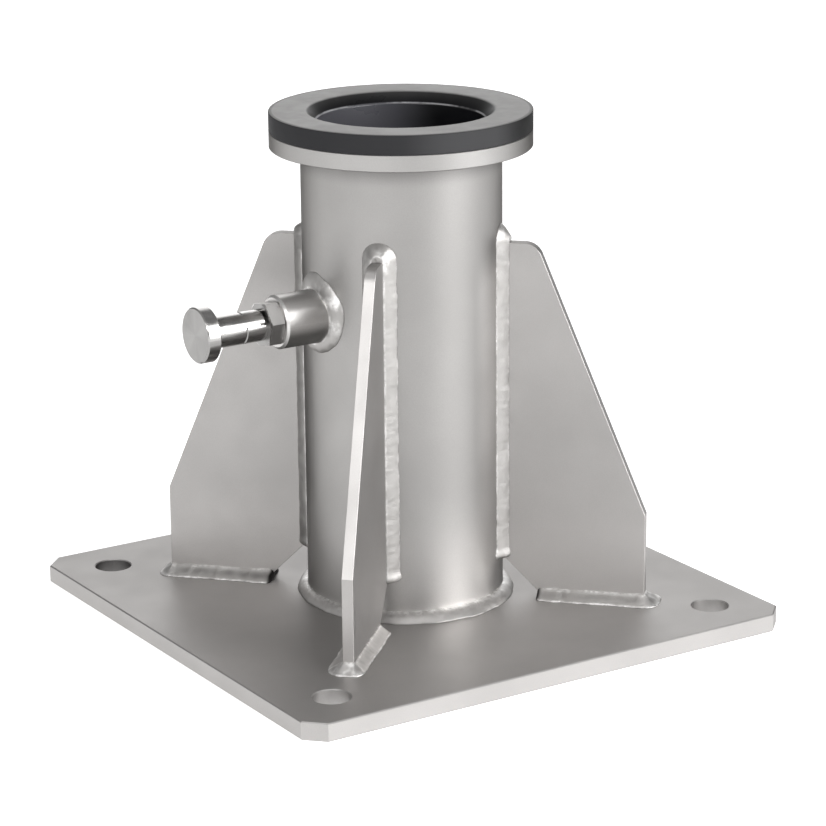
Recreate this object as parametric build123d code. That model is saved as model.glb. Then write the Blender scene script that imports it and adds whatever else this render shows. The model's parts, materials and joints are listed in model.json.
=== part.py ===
from build123d import *
from math import cos, radians, sin, sqrt
import os

# Davit base: a welded stainless socket that holds the foot of a small lifting mast on a deck.
# A tube stands on a square bolt-down plate with four gussets on the plate's diagonals.
# A steel ring and a flanged plastic bush line its mouth, and a pull plunger locks the mast.
# Millimetres. Z is up, the origin is the centre of the plate's underside, the plunger points to -X.

# Base plate
bolt_pitch = 240.0
bolt_edge = 30.0
bolt_hole_dia = 20.0
plate_thick = 10.0
corner_cut = 10.0
plate_edge_break = 0.6
hole_edge_break = 0.5

# Socket tube and the ring round its top
tube_dia = 108.0
tube_wall = 4.0
tube_length = 258.0
ring_width = 16.5
ring_thick = 9.0
ring_edge_break = 0.4
ring_slip = 0.05

# Plastic bushes
bush_wall = 5.0
bush_slip = 0.05
flange_thick = 10.5
flange_edge_break = 0.5
upper_bush_depth = 60.0
mouth_width = 5.4
mouth_depth = 6.4
lower_bush_height = 30.0
lower_lead_width = 3.0
lower_lead_depth = 6.0
bush_end_break = 1.0

# Gussets
gusset_thick = 6.0
gusset_height = 198.5
gusset_knee = 50.0
gusset_top_land = 20.0
gusset_bolt_gap = 35.7
gusset_snipe = 24.0
gusset_top_round = 10.0
gusset_edge_break = 0.2

# Weld beads: out is the leg along the plate or tube, up is the leg along the other piece
foot_out = 9.5
foot_up = 4.5
ring_leg = 3.5
gusset_tube_out = 6.5
gusset_tube_up = 5.5
gusset_plate_out = 9.0
gusset_plate_up = 4.8
boss_out = 7.0
boss_up = 3.0
tube_bead_lead = 2.8
plate_bead_lead = 1.5
bead_root = 2.0

# Boss and plunger body, along the plunger's axis
plunger_height = 163.0
boss_length = 26.0
boss_land = 3.5
boss_edge_break = 1.2
shank_wall = 4.0
shank_slip = 0.05
shank_inset = 2.5
hex_shoulder = 1.0
hex_thick = 8.5
hex_turn = 10.0
hex_edge_break = 0.7
collar_gap = 1.0
guide_wall = 1.6

# Knob, pin and spring
pin_dia = 12.0
pin_slip = 0.05
pin_hole_gap = 0.5
pin_reach = 9.5
pin_tip_break = 1.5
pin_guide = 9.5
stem_dia = 8.0
tongue_length = 11.5
tongue_thick = 2.65
tongue_span = 54.0
tongue_turn = 47.0
tongue_gap = 0.2
tongue_side_gap = 4.2
jaw_edge_break = 0.5
lift_over = 1.0
knob_seat_gap = 0.2
skirt_length = 18.5
head_dia = 29.8
head_thick = 7.8
head_edge_break = 0.7
stem_in_head = 1.4
spring_wire = 1.0
spring_turns = 6.5
spring_shut = 7.5

# Worked out from the above
tube_r = tube_dia / 2
tube_inner_r = tube_r - tube_wall
tube_top = plate_thick + tube_length
bore_r = tube_inner_r - bush_wall
bush_r = tube_inner_r - bush_slip
ring_r = tube_r + ring_width
ring_bottom = tube_top - ring_thick
plate_side = bolt_pitch + 2 * bolt_edge
gusset_reach = bolt_pitch / sqrt(2) - gusset_bolt_gap
gusset_top = plate_thick + gusset_height
plunger_z = plate_thick + plunger_height
pull_travel = tongue_length + lift_over
bore_dia = pin_dia + 2 * pin_slip
stem_bore_dia = stem_dia + 2 * pin_slip
shank_dia = pin_dia + 2 * shank_wall
hex_flats = shank_dia + 2 * hex_shoulder
boss_dia = hex_flats + 2 * boss_land
boss_front = tube_r + boss_length
hex_front = boss_front + hex_thick
collar_end = hex_front + collar_gap + tongue_length
core_r = stem_bore_dia / 2 + guide_wall
collar_r = core_r + tongue_gap + tongue_thick
shank_end = tube_r + shank_inset
pin_shoulder = shank_end + pin_guide
spring_stop = pin_shoulder + pull_travel + spring_shut
knob_notch = collar_end + knob_seat_gap
head_back = knob_notch + skirt_length
knob_face = head_back + head_thick
stem_end = head_back + stem_in_head

gusset_angles = {"front_left": -135.0, "front_right": -45.0, "rear_left": 135.0, "rear_right": 45.0}

# The plunger's own frame: its Z runs out from the tube's axis, its Y is up
plunger_frame = Plane(origin=(0, 0, plunger_z), x_dir=(0, -1, 0), z_dir=(-1, 0, 0))


def full_tube():
    """Solid of the tube's outside, used to cut what is fitted against it."""
    return Cylinder(tube_r, 2 * tube_top)


def turned(*points):
    """Solid of revolution about Z from an outline of (radius, height) points."""
    return revolve(Plane.XZ * make_face(Polyline(*points, close=True)), Axis.Z)


def jaw(inner, outer, root_end, free_end, middle, span):
    """Part of a ring about Z, centred on an angle in degrees, its outer edges broken but for the root's."""
    block = Rectangle(outer - inner, abs(free_end - root_end))
    solid = revolve(Plane.XZ * Pos((inner + outer) / 2, (root_end + free_end) / 2) * block, Axis.Z, span)
    outer_edges = [
        e for e in solid.edges()
        if Vector(e.center().X, e.center().Y).length > (inner + 3 * outer) / 4
        and abs(e.center().Z - root_end) > jaw_edge_break
    ]
    return Rot(0, 0, middle - span / 2) * chamfer(outer_edges, jaw_edge_break)


def bead_section(one, other, root):
    """Weld section between a point on each of two pieces and the root where they meet."""
    return make_face(Polyline(one, other, root, close=True))


def base_plate():
    """Square plate with clipped corners and four bolt holes."""
    square = Rectangle(plate_side, plate_side)
    outline = chamfer(square.vertices(), corner_cut)
    plate = extrude(outline, plate_thick)
    rims = plate.faces().sort_by(Axis.Z)[0].edges() + plate.faces().sort_by(Axis.Z)[-1].edges()
    plate = chamfer(rims, plate_edge_break)
    plate -= GridLocations(bolt_pitch, bolt_pitch, 2, 2) * Cylinder(bolt_hole_dia / 2, 4 * plate_thick)
    hole_rims = plate.edges().filter_by(GeomType.CIRCLE)
    return chamfer(hole_rims, hole_edge_break)


def socket_tube():
    """Tube on the plate, drilled on one side for the plunger's pin."""
    tube = Pos(0, 0, plate_thick) * extrude(Circle(tube_r) - Circle(tube_inner_r), tube_length)
    drill = Pos(0, 0, tube_r) * Cylinder(pin_dia / 2 + pin_hole_gap, tube_r)
    return tube - plunger_frame * drill


def top_ring():
    """Flat steel ring round the tube, flush with its top."""
    inner = tube_r + ring_slip
    ring = Pos(0, 0, ring_bottom) * extrude(Circle(ring_r) - Circle(inner), ring_thick)
    rims = [e for e in ring.edges().filter_by(GeomType.CIRCLE) if e.radius > inner + ring_width / 2]
    return chamfer(rims, ring_edge_break)


def upper_bush():
    """Flanged bush in the tube's mouth, with a coned lead-in."""
    low = tube_top - upper_bush_depth
    high = tube_top + flange_thick
    return turned(
        (bore_r, low), (bush_r - bush_end_break, low), (bush_r, low + bush_end_break),
        (bush_r, tube_top), (ring_r, tube_top), (ring_r, high - flange_edge_break),
        (ring_r - flange_edge_break, high), (bore_r + mouth_width, high), (bore_r, high - mouth_depth),
    )


def lower_bush():
    """Plain bush at the tube's foot, with a coned lead-in."""
    low = plate_thick
    high = plate_thick + lower_bush_height
    return turned(
        (bore_r, low), (bush_r - bush_end_break, low), (bush_r, low + bush_end_break), (bush_r, high),
        (bore_r + lower_lead_width, high), (bore_r, high - lower_lead_depth),
    )


def gusset():
    """One gusset across the XZ plane, with its sloped edge towards +X and its free edges broken."""
    outline = Polyline(
        (tube_r, gusset_top), (tube_r + gusset_top_land, gusset_top),
        (gusset_reach, plate_thick + gusset_knee), (gusset_reach, plate_thick),
        (tube_r + gusset_snipe, plate_thick), (tube_r, plate_thick + gusset_snipe), close=True,
    )
    face = make_face(outline)
    corner = face.vertices().sort_by(Axis.Y)[-2:].sort_by(Axis.X)[-1]
    gusset_plate = extrude(Plane.XZ * fillet(corner, gusset_top_round), gusset_thick / 2, both=True)
    free_edges = [
        e for e in gusset_plate.faces().filter_by(Axis.Y).edges()
        if e.center().X > tube_r + gusset_edge_break and e.center().Z > plate_thick + gusset_edge_break
    ]
    return chamfer(free_edges, gusset_edge_break)


def gusset_tube_bead():
    """Bead up both faces of a gusset where it meets the tube, closed over its top edge."""
    half = gusset_thick / 2
    toe = half + gusset_tube_out
    toe_x = sqrt(tube_r ** 2 - toe ** 2)
    edge = (tube_r + gusset_tube_up, half)
    side = bead_section(edge, (toe_x, toe), (toe_x - bead_root, half))
    low = plate_thick + gusset_snipe - tube_bead_lead
    runs = Pos(0, 0, low) * extrude(side + mirror(side, Plane.XZ), gusset_top - low)
    core = Pos((toe_x - bead_root + edge[0]) / 2, half / 2) * Rectangle(edge[0] - toe_x + bead_root, half)
    cap = revolve(Pos(0, 0, gusset_top) * (side + core), Axis((0, 0, gusset_top), (1, 0, 0)), 180)
    return runs + cap - full_tube()


def gusset_plate_bead():
    """Bead along both faces of a gusset on the plate, carried round its outer end."""
    half = gusset_thick / 2
    start = tube_r + gusset_snipe - plate_bead_lead
    section = bead_section((gusset_plate_out, 0), (0, gusset_plate_up), (0, 0))
    run = Plane(origin=(start, half, plate_thick), x_dir=(0, 1, 0), z_dir=(1, 0, 0)) * section
    bead = extrude(run, gusset_reach - start)
    bead += Pos(gusset_reach, half, plate_thick) * revolve(Plane.XZ * section, Axis.Z, 90)
    bead += mirror(bead, Plane.XZ)
    end = Plane(origin=(gusset_reach, half, plate_thick), x_dir=(1, 0, 0), z_dir=(0, -1, 0)) * section
    return bead + extrude(end, gusset_thick)


def foot_bead():
    """Bead round the tube's foot."""
    section = bead_section(
        (tube_r + foot_out, plate_thick), (tube_r, plate_thick + foot_up), (tube_r, plate_thick)
    )
    return revolve(Plane.XZ * section, Axis.Z)


def ring_bead():
    """Small bead round the tube under the top ring."""
    section = bead_section(
        (tube_r + ring_leg, ring_bottom), (tube_r, ring_bottom - ring_leg), (tube_r, ring_bottom)
    )
    return revolve(Plane.XZ * section, Axis.Z)


def boss_bead_section(turn):
    """Section of the boss's bead in the half plane at an angle round the plunger's axis."""
    boss_r = boss_dia / 2
    toe_r = boss_r + boss_out

    def wall(radius):
        return sqrt(tube_r ** 2 - (radius * cos(radians(turn))) ** 2)

    section = bead_section(
        (boss_r, wall(boss_r) + boss_up), (toe_r, wall(toe_r)),
        (boss_r - bead_root, wall(toe_r) - bead_root),
    )
    return Rot(0, 0, turn) * (Plane.XZ * section)


def boss_bead():
    """Bead round the boss, following the saddle where it meets the tube."""
    half = loft([boss_bead_section(turn) for turn in range(-90, 91, 30)])
    bead = plunger_frame * (half + mirror(half, Plane.YZ))
    return bead - full_tube() - plunger_frame * Pos(0, 0, tube_r) * Cylinder(boss_dia / 2, tube_dia)


def plunger_boss():
    """Round boss coped to the tube, bored for the plunger body's shank."""
    boss = Pos(0, 0, boss_front / 2) * Cylinder(boss_dia / 2, boss_front)
    boss = chamfer(boss.edges().sort_by(Axis.Z)[-1], boss_edge_break)
    boss -= Cylinder(shank_dia / 2 + shank_slip, 3 * boss_front)
    return plunger_frame * boss - full_tube()


def hexagon():
    """Spanner hexagon, with both ends chamfered."""
    corner_r = hex_flats / 2 / cos(radians(30))
    prism = Pos(0, 0, boss_front) * extrude(Rot(0, 0, hex_turn) * RegularPolygon(corner_r, 6), hex_thick)
    round_blank = Pos(0, 0, (boss_front + hex_front) / 2) * Cylinder(corner_r, hex_thick)
    ends = round_blank.edges().filter_by(GeomType.CIRCLE)
    return prism & chamfer(ends, hex_edge_break, 2 * hex_edge_break)


def plunger_body():
    """Shank, hexagon and slotted collar in one piece, with a stepped bore for pin, spring and stem."""
    tooth_span = 180 - tongue_span - 2 * tongue_side_gap
    body = Pos(0, 0, (shank_end + boss_front) / 2) * Cylinder(shank_dia / 2, boss_front - shank_end)
    body += hexagon()
    body += Pos(0, 0, (hex_front + collar_end) / 2) * Cylinder(core_r, collar_end - hex_front)
    for middle in (tongue_turn + 90, tongue_turn - 90):
        body += jaw(core_r / 2, collar_r, hex_front, collar_end, middle, tooth_span)
    body -= Cylinder(stem_bore_dia / 2, 3 * collar_end)
    body -= Pos(0, 0, spring_stop / 2) * Cylinder(bore_dia / 2, spring_stop)
    return plunger_frame * body


def pull_knob():
    """Round head with a skirt and two tongues, blind bored for the stem."""
    head = Pos(0, 0, (head_back + knob_face) / 2) * Cylinder(head_dia / 2, head_thick)
    head = chamfer(head.edges().filter_by(GeomType.CIRCLE), head_edge_break)
    tongue_root = knob_notch + jaw_edge_break
    tongue_end = knob_notch - tongue_length
    knob = head + Pos(0, 0, (tongue_root + head_back) / 2) * Cylinder(collar_r, head_back - tongue_root)
    knob += turned(
        (0, knob_notch), (collar_r - jaw_edge_break, knob_notch), (collar_r, tongue_root), (0, tongue_root)
    )
    for middle in (tongue_turn, tongue_turn + 180):
        knob += jaw(collar_r - tongue_thick, collar_r, tongue_root, tongue_end, middle, tongue_span)
    knob -= Pos(0, 0, stem_end / 2) * Cylinder(stem_bore_dia / 2, stem_end)
    return plunger_frame * knob


def plunger_pin():
    """Locking pin and its stem, turned in one piece."""
    tip = bore_r - pin_reach
    return plunger_frame * turned(
        (0, tip), (pin_dia / 2 - pin_tip_break, tip), (pin_dia / 2, tip + pin_tip_break),
        (pin_dia / 2, pin_shoulder), (stem_dia / 2, pin_shoulder), (stem_dia / 2, stem_end), (0, stem_end),
    )


def plunger_spring():
    """Compression spring round the stem, its wire six-sided to keep the facets few."""
    mean_r = (stem_dia + pin_dia) / 4
    height = spring_stop - pin_shoulder - spring_wire
    coil = Helix(height / spring_turns, height, mean_r)
    wire = Plane(origin=coil @ 0, x_dir=(1, 0, 0), z_dir=coil % 0) * RegularPolygon(spring_wire / 2, 6)
    spring = sweep(wire, path=coil, is_frenet=True)
    return plunger_frame * Pos(0, 0, pin_shoulder + spring_wire / 2) * spring


def nodes():
    """Every sub-part by name."""
    yield "base_plate", base_plate()
    yield "socket_tube", socket_tube()
    yield "top_ring", top_ring()
    yield "upper_bush", upper_bush()
    yield "lower_bush", lower_bush()
    for place, angle in gusset_angles.items():
        yield "gusset_" + place, Rot(0, 0, angle) * gusset()
        beads = Compound(children=[gusset_tube_bead(), gusset_plate_bead()])
        yield "weld_gusset_" + place, Rot(0, 0, angle) * beads
    yield "weld_tube_foot", foot_bead()
    yield "weld_top_ring", ring_bead()
    yield "weld_boss", boss_bead()
    yield "plunger_boss", plunger_boss()
    yield "plunger_body", plunger_body()
    yield "pull_knob", pull_knob()
    yield "plunger_pin", plunger_pin()
    yield "plunger_spring", plunger_spring()


os.makedirs("parts", exist_ok=True)
for name, shape in nodes():
    export_step(shape, "parts/" + name + ".step")
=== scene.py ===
import json
from math import cos, pi, radians, sin, sqrt
import bpy
import numpy as np
from mathutils import Matrix, Vector, noise


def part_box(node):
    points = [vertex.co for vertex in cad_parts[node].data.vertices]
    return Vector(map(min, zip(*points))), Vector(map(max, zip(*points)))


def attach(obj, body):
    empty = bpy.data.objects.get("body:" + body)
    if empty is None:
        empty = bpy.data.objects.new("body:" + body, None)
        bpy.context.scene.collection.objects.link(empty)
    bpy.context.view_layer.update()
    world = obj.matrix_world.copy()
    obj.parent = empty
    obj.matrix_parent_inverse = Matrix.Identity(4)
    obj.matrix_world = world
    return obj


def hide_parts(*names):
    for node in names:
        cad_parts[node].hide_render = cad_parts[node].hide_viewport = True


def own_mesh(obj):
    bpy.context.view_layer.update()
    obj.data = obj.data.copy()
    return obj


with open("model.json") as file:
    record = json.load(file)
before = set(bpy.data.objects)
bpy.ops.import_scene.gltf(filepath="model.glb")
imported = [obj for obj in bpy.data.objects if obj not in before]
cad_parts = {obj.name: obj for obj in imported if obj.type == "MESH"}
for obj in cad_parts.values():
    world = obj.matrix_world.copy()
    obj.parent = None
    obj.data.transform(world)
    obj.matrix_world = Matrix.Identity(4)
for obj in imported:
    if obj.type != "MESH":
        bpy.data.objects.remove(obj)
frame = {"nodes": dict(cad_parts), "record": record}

# Looks of the davit base: materials, rippled weld beads, a turned bush, a round-wire spring, floor,
# lights and camera. Metres, in the frame's axes: Z up, the plunger towards -X.

scene = bpy.context.scene
nodes = frame["nodes"]
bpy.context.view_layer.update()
MM = 0.001

# Places read from the frame
tube_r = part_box("socket_tube")[1].y
tube_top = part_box("socket_tube")[1].z
plate_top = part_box("base_plate")[1].z
ring_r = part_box("top_ring")[1].y
ring_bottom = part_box("top_ring")[0].z
bush_low, bush_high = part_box("upper_bush")[0].z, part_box("upper_bush")[1].z
boss_low, boss_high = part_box("plunger_boss")
boss_r = (boss_high.y - boss_low.y) / 2
plunger_z = (boss_high.z + boss_low.z) / 2
gusset_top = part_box("gusset_front_right")[1].z

# Sizes that the frame's boxes don't give, and the gussets' places
slip = 0.05 * MM
tube_inner_r = 50 * MM
bush_bore = 45 * MM
hex_front = boss_low.x - 8 * MM
hex_inner_r = 10 * MM
gusset_half = 3 * MM
gusset_snipe = 24 * MM
gusset_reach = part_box("gusset_front_right")[1].x * sqrt(2) - gusset_half
gusset_turns = {"front_left": -135, "front_right": -45, "rear_left": 135, "rear_right": 45}

# Widths in mm of each gusset's bead on the plate: one face, the outer end, the other face
plate_legs = {
    "front_left": (6.2, 9.2, 8.0), "front_right": (8.6, 8.8, 9.0),
    "rear_left": (9.6, 6.0, 8.8), "rear_right": (8.8, 8.8, 8.8),
}
# Painted shade in the same beads' middles and painted highlight on their outer ends
plate_looks = {
    "front_left": (0.16, 0.9), "front_right": (0.26, 0.8), "rear_left": (0.42, 0.2), "rear_right": (0.3, 0.5),
}
# Painted highlight and relative size of each tube bead's cap over its gusset, the painted shade in its
# middle, and how much of the painted highlight gives way to painted shade on the second face
cap_looks = {
    "front_left": (1.0, 1.0, 0.0, 0.7), "front_right": (0.55, 1.0, 0.0, 0), "rear_left": (0.1, 0.5, 0.35, 0),
    "rear_right": (0.5, 0.9, 0.1, 0),
}


# Shader helpers

def material(name, colour, rough, metallic=0.0):
    """New material with its shader's plain values set."""
    mat = bpy.data.materials.new(name)
    mat.use_nodes = True
    shader = mat.node_tree.nodes["Principled BSDF"]
    shader.inputs["Base Color"].default_value = (*colour, 1)
    shader.inputs["Roughness"].default_value = rough
    shader.inputs["Metallic"].default_value = metallic
    return mat, shader


def add(mat, kind, inputs=None, **settings):
    """New shader node, its inputs set to values or linked to other nodes' outputs."""
    node = mat.node_tree.nodes.new(kind)
    for key, value in settings.items():
        setattr(node, key, value)
    for key, value in (inputs or {}).items():
        if isinstance(value, bpy.types.NodeSocket):
            mat.node_tree.links.new(value, node.inputs[key])
        else:
            node.inputs[key].default_value = value
    return node


def link(mat, output, shader, name):
    """Feeds a node's output to the shader's socket of that name."""
    mat.node_tree.links.new(output, shader.inputs[name])


def place(mat, stretch=(1, 1, 1)):
    """Position on the object in metres, stretched along its axes."""
    where = add(mat, "ShaderNodeTexCoord").outputs["Object"]
    return add(mat, "ShaderNodeMapping", {"Vector": where, "Scale": stretch}).outputs["Vector"]


def cloud(mat, where, scale, detail, rough=0.5):
    """Soft random pattern from 0 to 1."""
    settings = {"Vector": where, "Scale": scale, "Detail": detail, "Roughness": rough}
    return add(mat, "ShaderNodeTexNoise", settings).outputs["Fac"]


def span(mat, value, low, high, out_low, out_high):
    """Value stretched from one range to another and held inside it."""
    settings = {"Value": value, "From Min": low, "From Max": high, "To Min": out_low, "To Max": out_high}
    return add(mat, "ShaderNodeMapRange", settings, interpolation_type="SMOOTHSTEP").outputs["Result"]


def joined(mat, operation, a, b):
    """Two values joined by an arithmetic operation."""
    return add(mat, "ShaderNodeMath", {0: a, 1: b}, operation=operation).outputs["Value"]


def mixed(mat, share, one, other):
    """Colour between two colours."""
    settings = {0: share, 6: one if isinstance(one, bpy.types.NodeSocket) else (*one, 1),
                7: other if isinstance(other, bpy.types.NodeSocket) else (*other, 1)}
    return add(mat, "ShaderNodeMix", settings, data_type="RGBA").outputs[2]


def scaled(mat, colour, factor):
    """Colour times a value."""
    return add(mat, "ShaderNodeVectorMath", {0: colour, "Scale": factor}, operation="SCALE").outputs["Vector"]


def facing_way(mat, normal, azimuth, start, full):
    """1 where a face looks one way in plan, 0 where it is turned away further, all in degrees."""
    way = Vector((cos(radians(azimuth)), sin(radians(azimuth)), 0))
    towards = add(mat, "ShaderNodeVectorMath", {0: normal, 1: way}, operation="DOT_PRODUCT").outputs["Value"]
    return span(mat, towards, cos(radians(start)), cos(radians(full)), 0, 1)


def bumps(mat, shader, *layers):
    """Bump layers of (height, depth in metres), one on the other."""
    normal = None
    for height, depth in layers:
        settings = {"Height": height, "Distance": depth}
        if normal is not None:
            settings["Normal"] = normal
        normal = add(mat, "ShaderNodeBump", settings).outputs["Normal"]
    link(mat, normal, shader, "Normal")


def tinted(colour, factor):
    """Colour made lighter or darker."""
    return tuple(factor * c for c in colour)


# Materials

# Sides of round faces for painted shade (lee) and painted light (lit, and the strip on the tube beside the
# front right gusset): angle in plan, and how far from there it starts and is full, in degrees
lee_side = (-32, 48, 14)
lit_side = (-87, 36, 8)
painted_strip_side = (-52, 26, 6)

# Heights where the blasted steel's painted light and shade change: painted light near the plate, a painted
# shadow under the ring, and painted light on the tube beside the front right gusset
skin = 0.1 * MM
foot_fade = 85 * MM
ring_shade_start = ring_bottom - 13 * MM
ring_shade_full = ring_bottom - 2 * MM
strip_fade = gusset_top - 25 * MM
strip_foot = 35 * MM
strip_full = 120 * MM

# Half side of the square that holds the bolt holes, and the reach along Y in which painted shade darkens
# their walls
hole_square = 135 * MM
hole_fade = 100 * MM


def hole_walls(mat, finish, where, facing, above):
    """Finish with painted shade on the walls of the plate's bolt holes, the more so towards the rear."""
    offsets = add(mat, "ShaderNodeVectorMath", {0: where}, operation="ABSOLUTE").outputs["Vector"]
    offsets = add(mat, "ShaderNodeSeparateXYZ", {"Vector": offsets}).outputs
    farther = joined(mat, "MAXIMUM", offsets["X"], offsets["Y"])
    inside = span(mat, farther, hole_square - 1 * MM, hole_square + 1 * MM, 1, 0)
    wall = span(mat, joined(mat, "ABSOLUTE", facing, 0.0), 0.3, 0.6, 1, 0)
    wall = joined(mat, "MULTIPLY", joined(mat, "MULTIPLY", inside, wall), joined(mat, "SUBTRACT", 1.0, above))
    depth = add(mat, "ShaderNodeSeparateXYZ", {"Vector": where}).outputs["Y"]
    wall_shade = span(mat, depth, -hole_fade, hole_fade, -0.08, -0.62)
    return scaled(mat, finish, joined(mat, "ADD", joined(mat, "MULTIPLY", wall, wall_shade), 1.0))


def blasted(name, colour, rough, edge_share, high=1.0, foot=1.0, slope_light=1.0, belly=1.0, beside=1.0, lee=1.0):
    """Bead-blasted stainless: fine dimples, cloudy sheen, duller towards grazing angles. Above the plate a
    painted light takes its brightness from foot to high, and a painted shadow darkens it close under the
    ring.
    slope_light sets painted light on sloping faces that look towards -X and painted shade on those towards
    +X, belly the painted shade on faces that look down, beside the painted light on the tube's side next to
    the front right gusset, along its bead, and lee the painted shade on the side away from the light."""
    mat, shader = material(name, colour, rough, 1.0)
    shader.inputs["Specular Tint"].default_value = (*[edge_share] * 3, 1)
    where = place(mat)
    sheen = cloud(mat, where, 14, 4, 0.5)
    dimples = cloud(mat, where, 1700, 2)
    pits = cloud(mat, where, 520, 3, 0.6)
    speckled = joined(mat, "ADD", sheen, joined(mat, "MULTIPLY", dimples, 0.5))
    share = span(mat, speckled, 0.5, 1.0, 0, 1)
    finish = mixed(mat, share, tinted(colour, 0.95), tinted(colour, 1.05))
    normal = add(mat, "ShaderNodeNewGeometry").outputs["Normal"]
    facing = add(mat, "ShaderNodeSeparateXYZ", {"Vector": normal}).outputs["Z"]
    level = add(mat, "ShaderNodeSeparateXYZ", {"Vector": where}).outputs["Z"]
    # Painted light near the plate, fading upwards, and a painted shadow close under the ring
    if foot > 1:
        faded = span(mat, level, plate_top, foot_fade, foot, high)
        above = span(mat, level, plate_top, plate_top + skin, 0, 1)
        upright = add(mat, "ShaderNodeMix", {0: above, 2: 1.0, 3: faded}).outputs[0]
        under = span(mat, level, ring_shade_start, ring_shade_full, 1, 0.66)
        finish = scaled(mat, finish, joined(mat, "MULTIPLY", upright, under))
        # Painted light on sloping faces that look towards -X, painted shade on those towards +X
        sideways = add(mat, "ShaderNodeSeparateXYZ", {"Vector": normal}).outputs["X"]
        slope_shade = span(mat, sideways, -0.3, 0.3, slope_light - 1, 1 / slope_light - 1)
        sloping = joined(mat, "MULTIPLY", above, span(mat, facing, 0.15, 0.32, 0, 1))
        finish = scaled(mat, finish, joined(mat, "ADD", joined(mat, "MULTIPLY", sloping, slope_shade), 1.0))
        finish = hole_walls(mat, finish, where, facing, above)
    # Painted shade on faces that look down
    if belly < 1:
        finish = scaled(mat, finish, span(mat, facing, -0.45, 0.25, belly, 1))
    # Painted light on the tube's side facing the front right gusset, along its bead
    if beside > 1:
        strip = joined(mat, "MULTIPLY", facing_way(mat, normal, *painted_strip_side), beside - 1)
        strip = joined(mat, "MULTIPLY", strip, span(mat, level, strip_fade, gusset_top, 1, 0))
        strip = joined(mat, "MULTIPLY", strip, span(mat, level, strip_foot, strip_full, 0.1, 1))
        finish = scaled(mat, finish, joined(mat, "ADD", strip, 1.0))
    # Painted shade on the side away from the light
    if lee < 1:
        finish = scaled(mat, finish, span(mat, facing_way(mat, normal, *lee_side), 0, 1, 1, lee))
    link(mat, finish, shader, "Base Color")
    link(mat, span(mat, cloud(mat, where, 40, 4), 0.3, 0.7, rough - 0.02, rough + 0.03), shader, "Roughness")
    bumps(mat, shader, (dimples, 0.03 * MM), (pits, 0.02 * MM))
    return mat


def weld_metal():
    """Cleaned weld metal: painted light where it lies flat, painted highlights along its toes, painted shade
    at its ends and in bands.
    """
    colour, painted_highlight_colour, painted_shade_colour = (0.62, 0.605, 0.59), (1.0, 0.99, 0.98), (0.04, 0.038, 0.036)
    mat, shader = material("weld_bead", colour, 0.42, 1.0)
    where = place(mat)
    patches = cloud(mat, where, 210, 4, 0.6)
    grit = cloud(mat, where, 1300, 3)
    normal = add(mat, "ShaderNodeNewGeometry").outputs["Normal"]
    level = add(mat, "ShaderNodeSeparateXYZ", {"Vector": normal}).outputs["Z"]
    # Painted light where the bead lies flat, painted shade where it stands upright
    top_lit_metal = mixed(mat, span(mat, level, 0.1, 0.6, 0, 1), tinted(colour, 0.7), tinted(colour, 0.96))
    # Painted highlight along the toes and at the glints
    toe = add(mat, "ShaderNodeAttribute", attribute_name="toe").outputs["Fac"]
    toe_highlight = joined(mat, "MULTIPLY", toe, span(mat, cloud(mat, where, 420, 3, 0.6), 0.35, 0.6, 0.3, 1))
    top_lit_metal = mixed(mat, toe_highlight, top_lit_metal, painted_highlight_colour)
    # Painted shade, and random darker patches
    painted_shade = add(mat, "ShaderNodeAttribute", attribute_name="painted_shade").outputs["Fac"]
    dull = joined(mat, "MAXIMUM", painted_shade, span(mat, patches, 0.35, 0.7, 0.1, 0))
    link(mat, mixed(mat, dull, top_lit_metal, painted_shade_colour), shader, "Base Color")
    link(mat, span(mat, patches, 0.3, 0.7, 0.42, 0.54), shader, "Roughness")
    bumps(mat, shader, (patches, 0.18 * MM), (grit, 0.05 * MM))
    return mat


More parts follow.
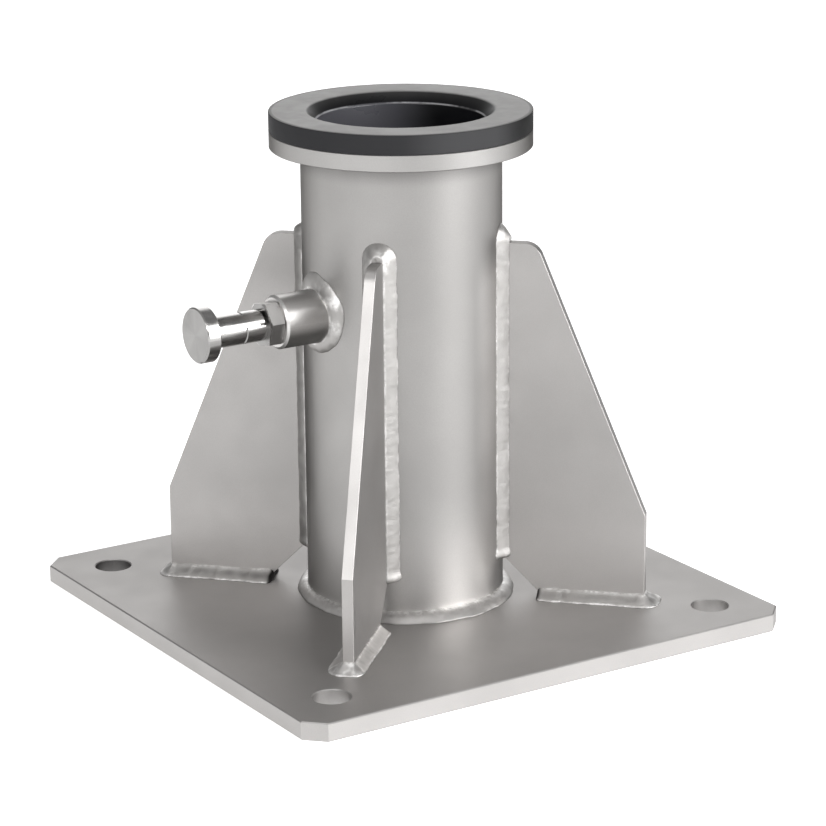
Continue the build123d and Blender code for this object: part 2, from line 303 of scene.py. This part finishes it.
def turned_steel(name, colour, rough, pitch):
    """Lathe-turned stainless on the plunger's axis: fine rings that draw the light out sideways."""
    mat, shader = material(name, colour, rough, 1.0)
    shader.inputs["Anisotropic"].default_value = 0.55
    radial = add(mat, "ShaderNodeTangent", direction_type="RADIAL", axis="X").outputs["Tangent"]
    link(mat, radial, shader, "Tangent")
    where = place(mat)
    parts = add(mat, "ShaderNodeSeparateXYZ", {"Vector": where}).outputs
    height = joined(mat, "SUBTRACT", parts["Z"], plunger_z)
    across = add(mat, "ShaderNodeCombineXYZ", {"X": parts["Y"], "Y": height}).outputs["Vector"]
    radius = add(mat, "ShaderNodeVectorMath", {0: across}, operation="LENGTH").outputs["Value"]
    along = joined(mat, "ADD", radius, parts["X"])
    ring_place = add(mat, "ShaderNodeCombineXYZ", {"X": along}).outputs["Vector"]
    rings = cloud(mat, ring_place, 1 / pitch, 3, 0.7)
    smudge = cloud(mat, where, 120, 3)
    outward = add(mat, "ShaderNodeVectorMath", {0: across}, operation="NORMALIZE").outputs["Vector"]
    # Painted shade on the end face, streaked by faint painted sector highlights, and on faces that look down
    sectors = span(mat, cloud(mat, outward, 1.6, 3), 0.3, 0.7, 0.56, 0.62)
    normal = add(mat, "ShaderNodeNewGeometry").outputs["Normal"]
    faces = add(mat, "ShaderNodeSeparateXYZ", {"Vector": normal}).outputs
    end_face = span(mat, faces["X"], -0.98, -0.9, 1, 0)
    below = span(mat, faces["Z"], -0.12, 0.2, 0.52, 1)
    shade = add(mat, "ShaderNodeMix", {0: end_face, 2: below, 3: sectors}).outputs[0]
    fine = mixed(mat, span(mat, rings, 0.35, 0.65, 0, 1), tinted(colour, 0.9), tinted(colour, 1.06))
    link(mat, scaled(mat, fine, shade), shader, "Base Color")
    hexagon = span(mat, parts["X"], hex_front - 0.2 * MM, hex_front + 0.2 * MM, 0, 1)
    milled = joined(mat, "MULTIPLY", hexagon, span(mat, radius, hex_inner_r, hex_inner_r + 0.5 * MM, 0, 1))
    dull = joined(mat, "MAXIMUM", end_face, milled)
    link(mat, joined(mat, "ADD", span(mat, smudge, 0.3, 0.7, rough - 0.03, rough + 0.05),
                     joined(mat, "MULTIPLY", dull, 0.15)), shader, "Roughness")
    bumps(mat, shader, (rings, 0.012 * MM))
    return mat


def drawn_wire():
    """Spring wire, with faint draw lines."""
    colour = (0.5, 0.495, 0.49)
    mat, shader = material("spring_wire", colour, 0.25, 1.0)
    lines = cloud(mat, place(mat, (1, 0.2, 0.2)), 4000, 2)
    link(mat, mixed(mat, lines, tinted(colour, 0.85), tinted(colour, 1.1)), shader, "Base Color")
    bumps(mat, shader, (lines, 0.01 * MM))
    return mat


def bush_plastic():
    """Black turned plastic: lathe lines, painted sheen on its top face and lit side, painted shade on its lee
    side, a painted reflection in the bore and a painted highlight on its edge.
    """
    # Colours: black plastic, painted reflection in the bore, painted highlight on its edge
    black, painted_bore_reflection, painted_shading = (0.002, 0.002, 0.003), (0.082, 0.082, 0.093), (0.3, 0.3, 0.31)
    # Side colours: painted shade, plain, painted sheen
    rim_dark, rim_grey, rim_lit = (0.003, 0.003, 0.003), (0.028, 0.028, 0.03), (0.052, 0.052, 0.054)
    # Colours of the top face's painted sheen
    top_sheen_dark, top_sheen_light = (0.245, 0.241, 0.237), (0.34, 0.336, 0.332)
    mat, shader = material("bush_plastic", black, 0.3)
    where = place(mat)
    parts = add(mat, "ShaderNodeSeparateXYZ", {"Vector": where}).outputs
    flat = add(mat, "ShaderNodeCombineXYZ", {"X": parts["X"], "Y": parts["Y"]}).outputs["Vector"]
    radius = add(mat, "ShaderNodeVectorMath", {0: flat}, operation="LENGTH").outputs["Value"]
    along = joined(mat, "SUBTRACT", radius, parts["Z"])
    rings = cloud(mat, add(mat, "ShaderNodeCombineXYZ", {"X": along}).outputs["Vector"], 1200, 2, 0.6)
    smears = cloud(mat, where, 38, 4, 0.62)
    facing = add(mat, "ShaderNodeNewGeometry").outputs["Normal"]
    turned = add(mat, "ShaderNodeSeparateXYZ", {"Vector": facing}).outputs["Z"]
    # Top face, which gets a painted sheen
    top_sheen_mask = span(mat, turned, 0.6, 1.0, 0, 1)
    outside = span(mat, radius, ring_r - 1.5 * MM, ring_r - 0.5 * MM, 0, 1)
    bore = span(mat, radius, bush_bore + 0.1 * MM, bush_bore + 1 * MM, 1, 0)
    link(mat, span(mat, bore, 0, 1, 0.12, 0.5), shader, "Specular IOR Level")
    # Painted reflection on the rear wall of the bore
    rear = add(mat, "ShaderNodeVectorMath", {0: flat, 1: (-0.2 / bush_bore, 0.98 / bush_bore, 0)},
               operation="DOT_PRODUCT").outputs["Value"]
    bore = joined(mat, "MULTIPLY", bore, span(mat, rear, 0.35, 0.98, 0, 1))
    # Painted highlight along the edge between the cone and the bore
    edge = joined(mat, "MULTIPLY", span(mat, radius, bush_bore + 0.08 * MM, bush_bore + 0.3 * MM, 0, 1),
                  span(mat, radius, bush_bore + 0.5 * MM, bush_bore + 1 * MM, 1, 0))
    edge = joined(mat, "MULTIPLY", edge, span(mat, smears, 0.4, 0.6, 0.1, 1))
    inside = mixed(mat, edge, mixed(mat, bore, black, painted_bore_reflection), painted_shading)
    # Painted sheen on the side towards the light and painted shade on the side away from it
    sheen = mixed(mat, facing_way(mat, facing, *lit_side), rim_grey, rim_lit)
    rim_side = mixed(mat, facing_way(mat, facing, *lee_side), sheen, rim_dark)
    side = mixed(mat, outside, inside, rim_side)
    # Painted sheen on the top face, blotched by smears and dimmer towards the outer rim
    top = mixed(mat, span(mat, smears, 0.35, 0.68, 0, 1), top_sheen_dark, top_sheen_light)
    rim = span(mat, radius, ring_r - 2.4 * MM, ring_r - 1.2 * MM, 1, 0.55)
    link(mat, mixed(mat, top_sheen_mask, side, scaled(mat, top, rim)), shader, "Base Color")
    matt_top = joined(mat, "MULTIPLY", top_sheen_mask, 0.2)
    matt = joined(mat, "MAXIMUM", matt_top, joined(mat, "MULTIPLY", outside, 0.34))
    link(mat, joined(mat, "ADD", span(mat, smears, 0.3, 0.7, 0.26, 0.36), matt), shader, "Roughness")
    bumps(mat, shader, (rings, 0.003 * MM))
    return mat


# Meshes

def piece(name, points, faces, mat, node, body):
    """Smooth mesh that rides on a body and stands for a node."""
    mesh = bpy.data.meshes.new(name)
    mesh.from_pydata([tuple(p) for p in points], [], faces)
    mesh.update()
    mesh.shade_smooth()
    mesh.materials.append(mat)
    obj = bpy.data.objects.new(name, mesh)
    scene.collection.objects.link(obj)
    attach(obj, body)
    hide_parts(node)
    return obj


def loops(count, size, closed):
    """Faces that join rings of points; an open run gets its two ends closed."""
    faces = []
    for i in range(count if closed else count - 1):
        a, b = i * size, (i + 1) % count * size
        faces += [(a + k, b + k, b + (k + 1) % size, a + (k + 1) % size) for k in range(size)]
    if not closed:
        faces.append(tuple(range(size)))
        faces.append(tuple(reversed(range((count - 1) * size, count * size))))
    return faces


def roughness_at(points, size, seed):
    """Smooth random values from -1 to 1, with features of that size, at each point."""
    return np.array([noise.noise(Vector(p) / size + Vector((seed, 2 * seed, 0))) for p in points])


# Weld beads

bead_step = 0.4 * MM
ripple_pitch = 3.2 * MM
ripple_bow = 0.5
ripple_height = 0.02 * MM
bead_end = 2.2 * MM
end_share = 0.55
toe_sink = 0.12 * MM
cap_reach = 7 * MM
tube_bead_lead = 3 * MM
plate_bead_lead = 3.4 * MM

# Narrower sides of the foot bead: angle in plan and share of the width
foot_bead_narrow = ((155, 0.6), (-12, 0.56))
section_shares = np.concatenate([[0, 0.04], np.linspace(0.09, 0.91, 10), [0.96, 1]])


def band(t, middle, width):
    """Height at t of a soft band across a bead, 0 where the width is 0."""
    return np.exp(-((t - middle) / width) ** 2) if width else 0.0


def bead(pivots, outs, up, leg_out, leg_up, inset, closed, seat, seed, crown, toe_roll, highlight_widths, wobble=1.0,
         end_shade_reach=0.0, dull=(0.5, 0.3, 0.0), glint=None):
    """Hand-laid fillet bead. pivots is the corner's line, outs its directions along the first piece and up
    the direction along the second. seat puts a point on the first piece. crown is its bulge, toe_roll the
    height of its toes' ridges, highlight_widths the widths of the painted highlight at the upper and the
    outer toe, wobble its unevenness, end_shade_reach the reach of the painted shade at its ends, dull the
    middle, width and share of a band of painted shade, and glint the share of painted highlight at each
    pivot. Returns points, faces, and the painted shade and painted highlight shares."""
    middles = pivots + 0.5 * np.mean(leg_out) * outs
    run = np.linalg.norm(np.diff(middles, axis=0), axis=1)
    s = np.concatenate([[0], np.cumsum(run)])
    length = s[-1] + (run[0] if closed else 0)
    ripples = round(length / ripple_pitch)
    phase = ripples * s / length + 0.5 * roughness_at(middles, 11 * MM, seed)
    ease = np.ones(len(s))
    if not closed:
        near = np.clip(np.minimum(s, length - s) / bead_end, 0, 1)
        ease = end_share + (1 - end_share) * np.sqrt(near * (2 - near))
    swell = 0.13 * roughness_at(middles, 11 * MM, seed + 5) + 0.05 * roughness_at(middles, 3.5 * MM, seed + 6)
    shift = 0.10 * roughness_at(middles, 9 * MM, seed + 9) + 0.06 * roughness_at(middles, 3 * MM, seed + 8)
    swell, shift = 1 + wobble * swell, 1 + wobble * shift
    toe_out = seat(pivots + outs * (leg_out * ease * swell)[:, None])
    toe_up = pivots + up * (leg_up * ease * shift)[:, None]
    chord = toe_out - toe_up
    along = np.gradient(middles, axis=0)
    normal = np.cross(chord, along)
    normal /= np.linalg.norm(normal, axis=1)[:, None]
    side = np.sign(np.sum(normal * ((toe_out + toe_up) / 2 - pivots), axis=1))
    normal *= side[:, None]
    spread = np.clip(np.linalg.norm(np.gradient(pivots, axis=0), axis=1)
                     / np.linalg.norm(along, axis=1), 0, 1)
    inner = pivots - outs * inset
    rings = [inner, inner + up * (leg_up * ease * shift * 0.96)[:, None]]
    toes = [np.zeros(len(s)), np.zeros(len(s))]
    # Painted shade at the open ends
    ends = np.exp(-((np.minimum(s, length - s) / end_shade_reach) ** 2)) if end_shade_reach else np.zeros(len(s))
    painted_shade = [ends, ends]
    for t in section_shares:
        arch = 4 * t * (1 - t)
        calm = spread + (1 - spread) * t
        scale = (phase - ripple_bow * arch) % 1
        ripple = 1 - (2 * scale ** 0.8 - 1) ** 2
        point = toe_up + chord * t
        lumps = 0.16 * roughness_at(point, 8 * MM, seed + 3) + 0.05 * roughness_at(point, 2.6 * MM, seed + 4)
        roll = toe_roll * (band(t, 0.09, 0.07) + band(t, 0.91, 0.07))
        lift = arch ** 0.9 * ease * (crown + calm * (ripple_height * ripple + lumps * MM)) + roll * calm
        rings.append(point + normal * (lift - toe_sink * (t in (0, 1)))[:, None])
        # Painted highlight bands along the toes, and painted glints where glint is given
        highlight_share = band(t, 0.06, highlight_widths[0]) + band(t, 0.95, highlight_widths[1])
        highlight_share = highlight_share * np.clip(0.6 + roughness_at(middles, 5 * MM, seed + 11 + 9 * (t > 0.5)), 0, 1)
        if glint is not None:
            streaks = roughness_at(point * np.array((1, 1, 0.35)), 3 * MM, seed + 12)
            highlight_share = np.maximum(highlight_share, glint * np.clip(0.35 + 1.6 * streaks, 0, 1))
        toes.append(np.clip(highlight_share, 0, 1))
        # Painted shade in a band across the bead
        painted_shading = dull[2] * band(t, dull[0], dull[1]) * (1 + 0.5 * roughness_at(point, 5 * MM, seed + 7))
        painted_shade.append(np.clip(ends + painted_shading, 0, 1))
    size = len(rings)
    points = np.stack(rings, axis=1).reshape(-1, 3)
    painted_shade = np.stack(painted_shade, axis=1).reshape(-1)
    return points, loops(len(s), size, closed), painted_shade, np.stack(toes, axis=1).reshape(-1)


def bead_piece(name, parts, turn=0):
    """Beads joined in one piece and turned about the tube's axis."""
    points, faces, painted_shade, toe, count = [], [], [], [], 0
    for p, f, dark, highlight_share in parts:
        points.append(p)
        faces += [tuple(i + count for i in face) for face in f]
        painted_shade.append(dark)
        toe.append(highlight_share)
        count += len(p)
    spin = np.array(Matrix.Rotation(radians(turn), 3, "Z"))
    points = np.concatenate(points) @ spin.T
    obj = piece(name + "_bead", points, faces, welded, name, "socket")
    for label, values in (("painted_shade", painted_shade), ("toe", toe)):
        layer = obj.data.attributes.new(label, "FLOAT", "POINT")
        layer.data.foreach_set("value", np.concatenate(values).astype(np.float32))


def on_tube(points, side=1):
    """Points moved along X on to the tube's outside."""
    x = side * np.sqrt(np.maximum(tube_r ** 2 - points[:, 1] ** 2, 0))
    return np.stack([x, points[:, 1], points[:, 2]], axis=1)


def as_is(points):
    """Points left where they are, on a flat face."""
    return points


def line(start, end):
    """Points from start up to but without end."""
    start, end = np.array(start, float), np.array(end, float)
    count = max(2, round(np.linalg.norm(end - start) / bead_step))
    return start + (end - start) * np.arange(count)[:, None] / count


def arc(radius, first, last):
    """Angles of an arc, a step apart at a bead's middle."""
    count = max(3, round(abs(last - first) * (radius + 3 * MM) / bead_step))
    return first + (last - first) * np.arange(count) / count


def gusset_tube_bead(seed, cap_glint, cap_size, valley, faded):
    """Bead up one face of a gusset, over its top edge and down the other face, in the XZ plane."""
    low = plate_top + gusset_snipe - tube_bead_lead
    up_run = line((0, 0, low), (0, 0, gusset_top))
    turn = arc(gusset_half, 0, pi)
    rise = np.concatenate([up_run[:, 2], np.full(len(turn), gusset_top), up_run[::-1, 2]])
    angle = np.concatenate([np.zeros(len(up_run)), turn, np.full(len(up_run), pi)])
    outs = np.stack([0 * angle, np.cos(angle), np.sin(angle)], axis=1)
    centre = np.stack([0 * rise, 0 * rise, rise], axis=1)
    pivots = on_tube(centre + gusset_half * outs)
    # Painted highlight on the cap and the lump at the start; on the cap's second face it gives way to painted
    # shade
    capped = np.clip((rise - gusset_top) / cap_reach + 1, 0, 1)
    start_lump = np.exp(-(((rise - low) / MM - 3) / 2.5) ** 2)
    leg_out = (6.5 + 0.9 * start_lump) * (1 - (1 - cap_size) * capped) * MM
    second = faded * angle / pi
    return bead(pivots, outs, np.array((1, 0, 0)), leg_out, (5.5 + 0.6 * start_lump) * MM,
                gusset_half, False, on_tube, seed, 0.5 * MM, 0.05 * MM, (0.03, 0.03), 0.5,
                dull=(0.5, 0.6, valley + 0.6 * second * capped),
                glint=np.maximum(cap_glint * capped * (1 - second), 0.4 * start_lump))


def gusset_plate_bead(seed, legs, valley, end_glint):
    """Bead along both faces of a gusset on the plate, carried round its outer end."""
    start = tube_r + gusset_snipe - plate_bead_lead
    h, reach, z = gusset_half, gusset_reach, plate_top
    turn = arc(0, pi / 2, 0)
    left, end, right = legs
    runs = [
        (line((start, h, z), (reach, h, z)), None, (0, 1, 0), (left, left)),
        (np.tile((reach, h, z), (len(turn), 1)), turn, None, (left, end)),
        (line((reach, h, z), (reach, -h, z)), None, (1, 0, 0), (end, end)),
        (np.tile((reach, -h, z), (len(turn), 1)), turn - pi / 2, None, (end, right)),
        (line((reach, -h, z), (start, -h, z)), None, (0, -1, 0), (right, right)),
    ]
    pivots = np.concatenate([r[0] for r in runs])
    outs = np.concatenate([
        np.tile(out, (len(p), 1)) if angles is None
        else np.stack([np.cos(angles), np.sin(angles), 0 * angles], axis=1)
        for p, angles, out, _ in runs
    ])
    leg_out = MM * np.concatenate([np.linspace(a, b, len(p)) for p, _, _, (a, b) in runs])
    up = np.array((0, 0, 1))
    # Painted highlight on the bead's outer end, and painted shade in its middle
    far_end = np.clip((pivots[:, 0] - reach) / (2 * MM) + 1, 0, 1)
    return bead(pivots, outs, up, leg_out, 4.9 * MM, gusset_half, False, as_is, seed,
                0.1 * MM, 0.34 * MM, (0.1, 0.09), 1, 1.8 * MM, (0.5, 0.3, valley), end_glint * far_end)


def round_bead(z, up, leg_out, leg_up, seed, crown, narrow=()):
    """Bead round the tube at a height, with its narrower sides as (angle, share of the width)."""
    angle = np.linspace(0, 2 * pi, round(2 * pi * (tube_r + leg_out / 2) / bead_step), endpoint=False)
    outs = np.stack([np.cos(angle), np.sin(angle), 0 * angle], axis=1)
    pivots = tube_r * outs + np.array((0, 0, z))
    for side, share in narrow:
        leg_out = leg_out * (1 - (1 - share) * np.clip(np.cos(angle - radians(side)), 0, 1) ** 2)
    # Painted highlight along the toe on the tube, and painted shade along the other toe
    return bead(pivots, outs, np.array((0, 0, up)), leg_out, leg_up, 1 * MM, True, as_is, seed,
                crown, 0, (0.34, 0), 0.8, dull=(1, 0.1, 0.3))


def boss_bead(seed):
    """Bead round the boss on the tube's curved side, widest at the top."""
    wide, narrow = 8.6 * MM, 5.6 * MM
    lean, bright = radians(20), radians(150)
    angle = np.linspace(0, 2 * pi, round(2 * pi * (boss_r + narrow / 2) / bead_step), endpoint=False)
    outs = np.stack([0 * angle, np.cos(angle), np.sin(angle)], axis=1)
    flat = boss_r * outs + np.array((0, 0, plunger_z))
    leg_out = (wide + narrow) / 2 + (wide - narrow) / 2 * np.sin(angle + lean)
    # Painted highlight on the bead's upper front side, strongest at the angle bright
    return bead(on_tube(flat, -1), outs, np.array((-1, 0, 0)), leg_out, 3.2 * MM, 1 * MM, True,
                lambda p: on_tube(p, -1), seed, 0.8 * MM, 0, (0.05, 0),
                glint=np.clip(np.cos(angle - bright), 0, 1) ** 3)


# Bush and spring

mouth_width, mouth_depth = 5.4 * MM, 6.4 * MM
bush_turns = 288
corner_steps = 5
wire_r = 0.5 * MM
coil_turns, coil_steps, wire_sides = 6.5, 48, 12


def rounded(profile, radius):
    """Closed outline of (radius, height) points with each corner rounded by its own radius."""
    result = []
    count = len(profile)
    for i, corner in enumerate(profile):
        here = Vector(corner)
        before = (Vector(profile[i - 1]) - here).normalized()
        after = (Vector(profile[(i + 1) % count]) - here).normalized()
        half = before.angle(after) / 2
        reach = radius[i] / np.tan(half)
        centre = here + (before + after).normalized() * radius[i] / sin(half)
        first = here + before * reach - centre
        last = here + after * reach - centre
        for k in range(corner_steps + 1):
            mid = first.lerp(last, k / corner_steps)
            result.append(centre + mid.normalized() * radius[i])
    return result


def upper_bush():
    """Flanged bush turned from the solid, with rounded rims and a lead-in cone."""
    sleeve = tube_inner_r - slip
    outline = [
        (bush_bore, bush_low), (sleeve, bush_low), (sleeve, tube_top), (ring_r, tube_top),
        (ring_r, bush_high), (bush_bore + mouth_width, bush_high), (bush_bore, bush_high - mouth_depth),
    ]
    breaks = [v * MM for v in (0.3, 1.0, 0.02, 0.4, 0.6, 2.4, 0.8)]
    outline = rounded(outline, breaks)
    points = []
    for i in range(bush_turns):
        a = 2 * pi * i / bush_turns
        points += [(p[0] * cos(a), p[0] * sin(a), p[1]) for p in outline]
    piece("upper_bush_turned", points, loops(bush_turns, len(outline), True),
          plastic, "upper_bush", "socket")


def spring():
    """Round-wire coil round the stem, built at its rest length. The real spring closes up to 0.375 of its
    length when the knob is fully pulled; this coil does not.
    """
    low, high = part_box("plunger_spring")
    mean_r = (high.y - low.y) / 2 - wire_r
    first, last = high.x - wire_r, low.x + wire_r + slip
    count = round(coil_turns * coil_steps)
    points = []
    for i in range(count + 1):
        share = i / count
        a = 2 * pi * coil_turns * share
        x = first + (last - first) * share
        out = Vector((0, cos(a), sin(a)))
        for k in range(wire_sides):
            b = 2 * pi * k / wire_sides
            middle = Vector((x, 0, plunger_z)) + out * (mean_r + wire_r * cos(b))
            points.append(middle + Vector((wire_r * sin(b), 0, 0)))
    obj = piece("plunger_spring_coil", points, loops(count + 1, wire_sides, False),
                wire_steel, "plunger_spring", "plunger")
    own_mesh(obj)


# Setting

# Azimuth, elevation and reach in degrees, and strength, of each soft patch of light in the room
room_patches = {
    "key": (29, 17, 28, 7.3), "ceiling": (60, 88, 25, 2.3), "wall": (147, 16, 34, 1.55),
    "left": (-120, 12, 55, 0.2),
}
room_light = 0.2

# Camera at the photograph's viewing angle, from a fit of the plate, tube and gussets
camera_lens = 139.12
camera_place = Vector((-0.88758, -1.41431, 0.61101))
camera_right = Vector((0.84394, -0.53637, -0.00895))
camera_up = Vector((0.16152, 0.23816, 0.95770))

# The point that a light goes round, and the point that it faces
light_centre = Vector((0, 0, 0.1))
light_target = Vector((0, 0, 0.12))

floor_half = 12
floor_drop = 0.05 * MM


def around(azimuth, elevation, distance):
    """Point round the object by view angles."""
    a, e = radians(azimuth), radians(elevation)
    return Vector((sin(a) * cos(e), -cos(a) * cos(e), sin(e))) * distance


def softbox(name, azimuth, elevation, distance, size, power):
    """Rectangular studio light."""
    data = bpy.data.lights.new(name, "AREA")
    data.shape = "RECTANGLE"
    data.size, data.size_y = size
    data.energy = power
    obj = bpy.data.objects.new(name, data)
    scene.collection.objects.link(obj)
    obj.location = around(azimuth, elevation, distance) + light_centre
    obj.rotation_euler = (light_target - obj.location).to_track_quat("-Z", "Y").to_euler()


def camera():
    """Camera that takes the photograph's view."""
    data = bpy.data.cameras.new("camera")
    data.sensor_width = 36
    data.lens = camera_lens
    cam = bpy.data.objects.new("camera", data)
    scene.collection.objects.link(cam)
    back = camera_right.cross(camera_up)
    turn = Matrix((camera_right, camera_up, back)).transposed().to_4x4()
    cam.matrix_world = Matrix.Translation(camera_place) @ turn
    scene.camera = cam


def floor():
    """Pale studio floor, lightly lit from within."""
    mesh = bpy.data.meshes.new("floor")
    corners = [(-1, -1), (1, -1), (1, 1), (-1, 1)]
    mesh.from_pydata([(floor_half * x, floor_half * y, -floor_drop) for x, y in corners], [], [(0, 1, 2, 3)])
    mat, shader = material("floor", (0.6, 0.6, 0.6), 0.9)
    tone = cloud(mat, place(mat), 3, 2)
    link(mat, mixed(mat, tone, (0.59, 0.59, 0.59), (0.61, 0.61, 0.61)), shader, "Base Color")
    shader.inputs["Specular IOR Level"].default_value = 0
    shader.inputs["Emission Color"].default_value = (1, 1, 1, 1)
    shader.inputs["Emission Strength"].default_value = 0.86
    mesh.materials.append(mat)
    obj = bpy.data.objects.new("floor", mesh)
    scene.collection.objects.link(obj)


def glow(world, azimuth, elevation, reach, strength):
    """Soft-edged round patch of light in the room, its reach in degrees."""
    where = add(world, "ShaderNodeTexCoord").outputs["Generated"]
    towards = add(world, "ShaderNodeVectorMath", {0: where, 1: around(azimuth, elevation, 1)},
                  operation="DOT_PRODUCT").outputs["Value"]
    return span(world, towards, cos(radians(reach)), cos(radians(reach / 5)), 0, strength)


def surroundings():
    """Dim studio room with soft patches of light."""
    world = bpy.data.worlds.new("studio")
    world.use_nodes = True
    scene.world = world
    light = room_light
    for patch in room_patches.values():
        light = joined(world, "ADD", glow(world, *patch), light)
    link(world, light, world.node_tree.nodes["Background"], "Strength")
    world.node_tree.nodes["Background"].inputs["Color"].default_value = (1, 1, 1, 1)


# The pieces' finishes

plates = blasted("blasted_plate", (0.472, 0.459, 0.450), 0.47, 0.62, high=0.9, foot=1.18, slope_light=1.2)
tube = blasted("blasted_tube", (0.385, 0.376, 0.368), 0.41, 0.12, high=0.95, foot=1.62, beside=1.9)
ring = blasted("blasted_ring", (0.40, 0.392, 0.384), 0.38, 0.1, lee=0.74)
boss = blasted("blasted_boss", (0.78, 0.765, 0.75), 0.34, 0.6, belly=0.38)
welded = weld_metal()
polished = turned_steel("turned_steel", (0.56, 0.55, 0.54), 0.17, 0.25 * MM)
wire_steel = drawn_wire()
plastic = bush_plastic()

finishes = {
    "blasted_plate": plates, "blasted_tube": tube, "blasted_ring": ring, "blasted_boss": boss,
    "weld_bead": welded, "turned_steel": polished, "spring_wire": wire_steel, "bush_plastic": plastic,
}
for part in frame["record"]["subparts"]:
    obj = nodes[part["node"]]
    for material_slot in obj.material_slots:
        material_slot.material = finishes[part["material_slot"]]

# The pieces that stand for CAD solids

for seed, (corner, turn) in enumerate(gusset_turns.items()):
    plate_part = gusset_plate_bead(seed + 20, plate_legs[corner], *plate_looks[corner])
    bead_piece("weld_gusset_" + corner, [gusset_tube_bead(seed, *cap_looks[corner]), plate_part], turn)
foot_bead = round_bead(plate_top, 1, 9.3 * MM, 4.4 * MM, 31, crown=1.1 * MM, narrow=foot_bead_narrow)
bead_piece("weld_tube_foot", [foot_bead])
bead_piece("weld_top_ring", [round_bead(ring_bottom, -1, 3.4 * MM, 3.4 * MM, 33, crown=0)])
bead_piece("weld_boss", [boss_bead(35)])
upper_bush()
spring()

# Floor, light and camera

floor()
surroundings()
softbox("fill", azimuth=-58, elevation=30, distance=1.5, size=(0.7, 0.6), power=7.2)
camera()
scene.view_settings.view_transform = "Standard"
